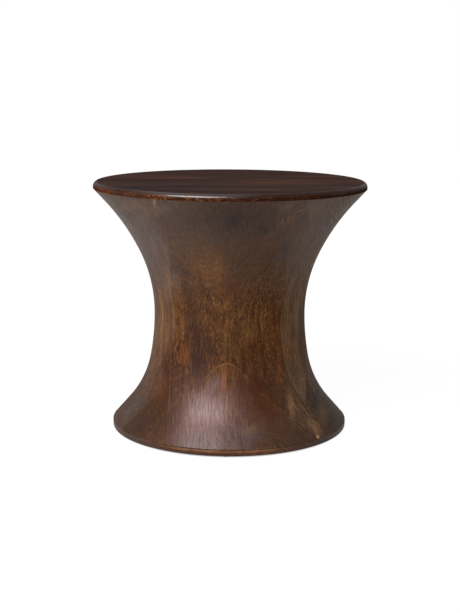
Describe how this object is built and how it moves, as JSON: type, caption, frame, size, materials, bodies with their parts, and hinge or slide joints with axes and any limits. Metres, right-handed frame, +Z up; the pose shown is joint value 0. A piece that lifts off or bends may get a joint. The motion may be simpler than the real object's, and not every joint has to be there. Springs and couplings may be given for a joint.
{
  "type": "round wooden stool",
  "caption": "Round wooden stool shaped like a spool: a wide flat seat narrows to a slim waist and flares out again to a round foot.",
  "frame": {"origin": "centre of the floor plane under the stool, on the axis of the turning, level with the undersides of the floor pads", "axes": "+Z up along the turning axis; X along the glued faces of the upright planks and the grain of the seat; Y square to the glued faces, with -Y towards the viewer of the picture"},
  "size_m": [0.496, 0.496, 0.457],
  "materials": {
    "plank_wood": "satin",
    "seat_wood": "satin",
    "base_wood": "satin",
    "dowel_wood": "raw",
    "screw_steel": "zinc plated",
    "pad_felt": "felt"
  },
  "bodies": {
    "root": {"middle_left_plank": "plank_wood", "middle_right_plank": "plank_wood", "front_1_left_plank": "plank_wood", "front_1_right_plank": "plank_wood", "front_2_left_plank": "plank_wood", "front_2_centre_plank": "plank_wood", "front_2_top_right_block": "plank_wood", "front_2_foot_right_block": "plank_wood", "front_3_centre_plank": "plank_wood", "front_3_top_left_block": "plank_wood", "front_3_top_right_block": "plank_wood", "front_3_foot_left_block": "plank_wood", "front_3_foot_right_block": "plank_wood", "front_4_top_left_block": "plank_wood", "front_4_top_centre_block": "plank_wood", "front_4_top_right_block": "plank_wood", "front_4_foot_left_block": "plank_wood", "front_4_foot_right_block": "plank_wood", "front_5_top_left_block": "plank_wood", "front_5_top_centre_block": "plank_wood", "front_5_top_right_block": "plank_wood", "front_5_foot_block": "plank_wood", "front_6_top_block": "plank_wood", "back_1_left_plank": "plank_wood", "back_1_right_plank": "plank_wood", "back_2_left_plank": "plank_wood", "back_2_centre_plank": "plank_wood", "back_2_top_right_block": "plank_wood", "back_2_foot_right_block": "plank_wood", "back_3_centre_plank": "plank_wood", "back_3_top_left_block": "plank_wood", "back_3_top_right_block": "plank_wood", "back_3_foot_left_block": "plank_wood", "back_3_foot_right_block": "plank_wood", "back_4_top_left_block": "plank_wood", "back_4_top_centre_block": "plank_wood", "back_4_top_right_block": "plank_wood", "back_4_foot_left_block": "plank_wood", "back_4_foot_right_block": "plank_wood", "back_5_top_left_block": "plank_wood", "back_5_top_centre_block": "plank_wood", "back_5_top_right_block": "plank_wood", "back_5_foot_block": "plank_wood", "back_6_top_block": "plank_wood", "seat_front_board": "seat_wood", "seat_front_middle_board": "seat_wood", "seat_centre_board": "seat_wood", "seat_back_middle_board": "seat_wood", "seat_back_board": "seat_wood", "base_front_board": "base_wood", "base_centre_board": "base_wood", "base_back_board": "base_wood", "seat_dowels": "dowel_wood", "base_screws": "screw_steel", "floor_pads": "pad_felt"}
  },
  "joints": []
}
